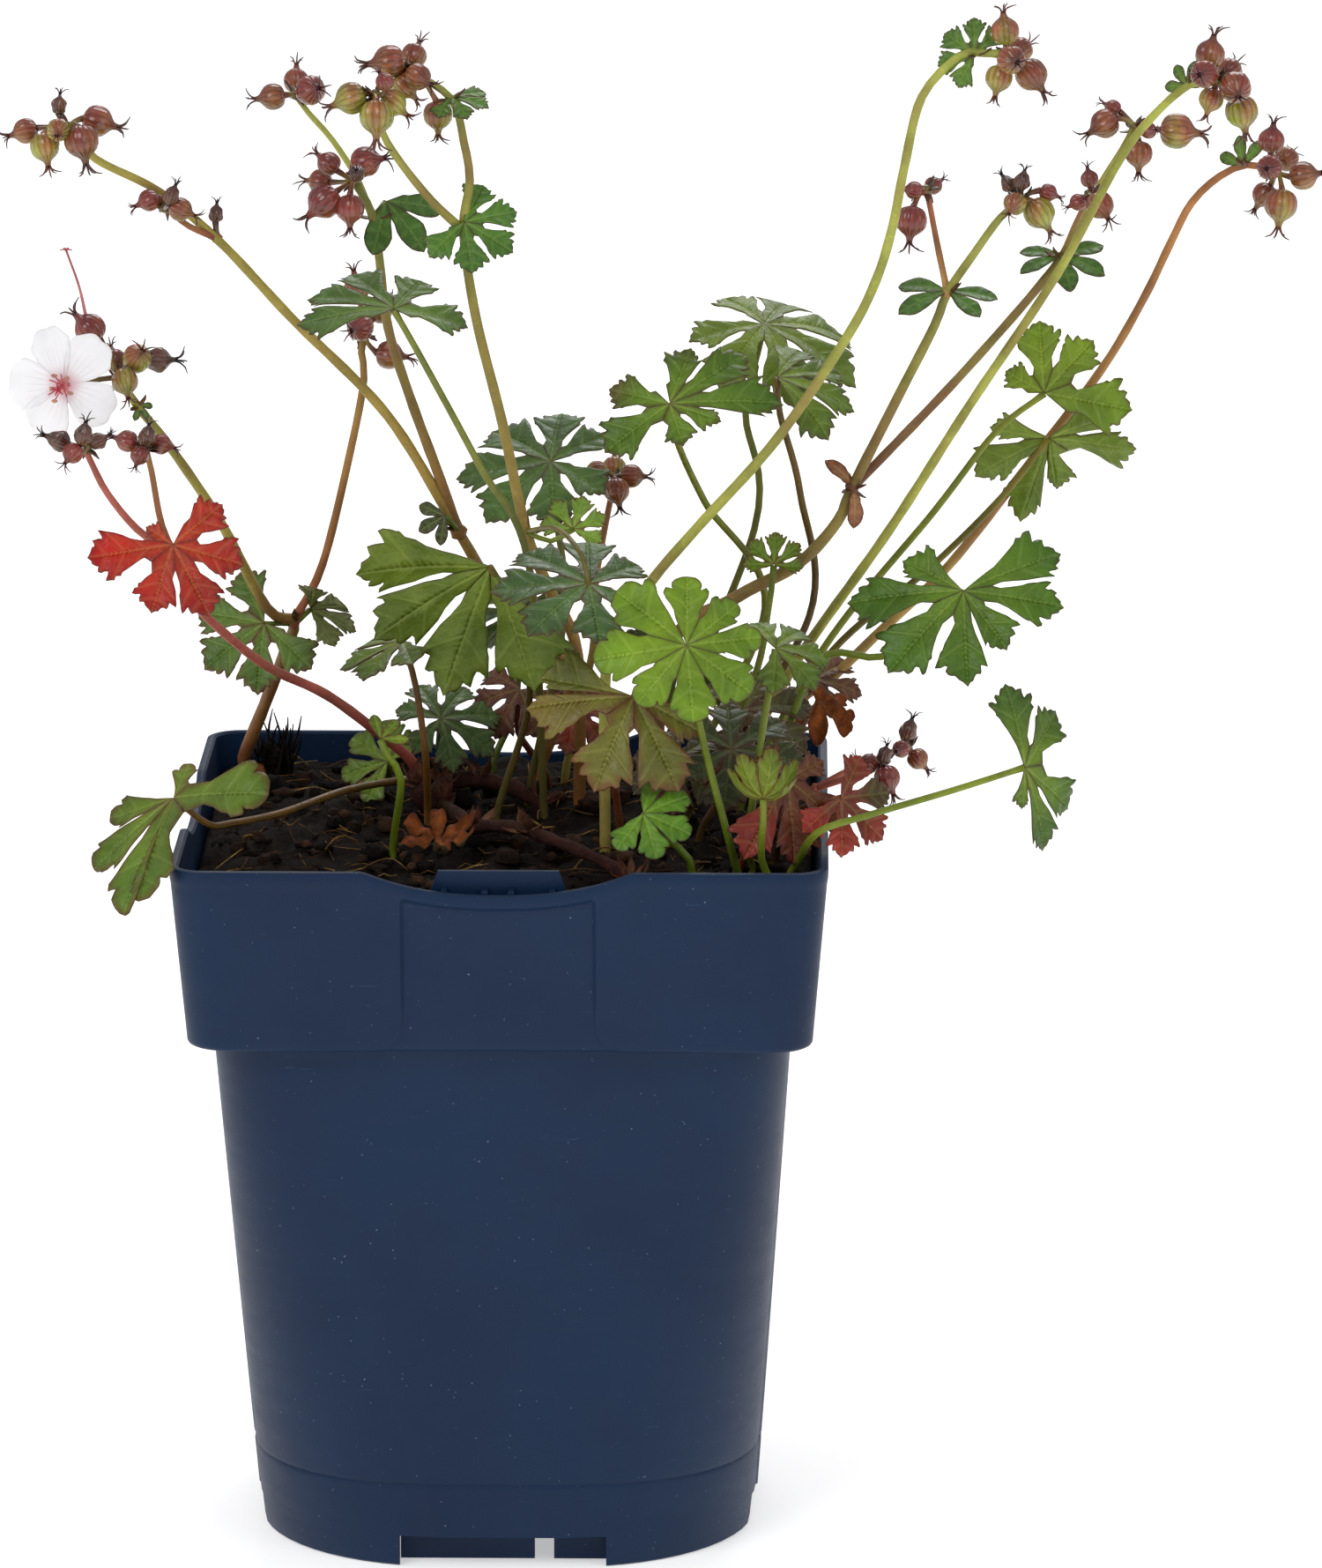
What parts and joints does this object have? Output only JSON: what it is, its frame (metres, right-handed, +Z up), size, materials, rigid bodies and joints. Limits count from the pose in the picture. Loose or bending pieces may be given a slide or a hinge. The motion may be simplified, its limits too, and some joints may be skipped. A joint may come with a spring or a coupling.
{
  "type": "hardy geranium",
  "caption": "Hardy geranium gone to seed, with cut leaves, ribbed seed heads and a white flower, in its square nursery pot.",
  "frame": {"origin": "centre of the pot's base, on the ground", "axes": "+Z up along the pot, -Y towards the side that the picture shows"},
  "size_m": [0.2258, 0.11, 0.2676],
  "materials": {
    "pot_plastic": "matte moulded plastic with light scuffs",
    "soil": "dark crumbly peat",
    "stem_green": "smooth soft stem, green to pinkish brown",
    "stem_red": "smooth soft stem, red-brown",
    "seed_head": "dry papery ribbed calyces, red-brown to green",
    "leaf_light": "soft leaf, light green",
    "leaf_mid": "soft leaf, mid green",
    "leaf_dark": "soft leaf, dark green",
    "leaf_red": "ageing leaf, red to olive",
    "petal": "thin white petal with faint lilac veins",
    "flower_middle": "pink",
    "rootstock": "knobbly creeping rootstock",
    "dry_leaf": "dry brown leaf"
  },
  "bodies": {
    "root": {"flower_middle": "flower_middle", "flower_petals": "petal", "head_behind": "seed_head", "head_far_left": "seed_head", "head_far_right": "seed_head", "head_flower": "seed_head", "head_high_right": "seed_head", "head_inner_left": "seed_head", "head_left_branch": "seed_head", "head_pink": "seed_head", "head_right_dark": "seed_head", "head_right_high": "seed_head", "head_right_small": "seed_head", "head_tall_right": "seed_head", "head_top_back": "seed_head", "head_top_left": "seed_head", "head_upper_left": "seed_head", "leaf_back_left": "leaf_mid", "leaf_back_right": "leaf_mid", "leaf_behind_front": "leaf_red", "leaf_big_front": "leaf_light", "leaf_browned": "leaf_mid", "leaf_cup": "leaf_mid", "leaf_dark_centre": "leaf_dark", "leaf_dark_right": "leaf_dark", "leaf_edge_on": "leaf_mid", "leaf_fresh_right": "leaf_light", "leaf_fuzzy": "leaf_light", "leaf_large_right": "leaf_mid", "leaf_low_dark": "leaf_dark", "leaf_low_left": "leaf_mid", "leaf_mid_right": "leaf_mid", "leaf_over_rim": "leaf_mid", "leaf_pale_left": "leaf_light", "leaf_pale_right": "leaf_light", "leaf_red_left": "leaf_red", "leaf_red_right": "leaf_red", "leaf_side_right": "leaf_mid", "leaf_small_centre": "leaf_mid", "leaf_small_front": "leaf_light", "leaf_top_back": "leaf_mid", "leaf_top_right": "leaf_mid", "leaf_upper_left": "leaf_dark", "litter_left": "dry_leaf", "litter_right": "dry_leaf", "pot": "pot_plastic", "rootstock": "rootstock", "soil": "soil", "spray_centre_left": "stem_green", "spray_centre_short": "stem_green", "spray_far_left": "stem_green", "spray_far_right": "stem_green", "spray_flower": "stem_green", "spray_forked": "stem_green", "spray_low_right": "stem_red", "spray_red_left": "stem_red", "spray_right": "stem_green", "spray_tall_right": "stem_green"}
  },
  "joints": []
}
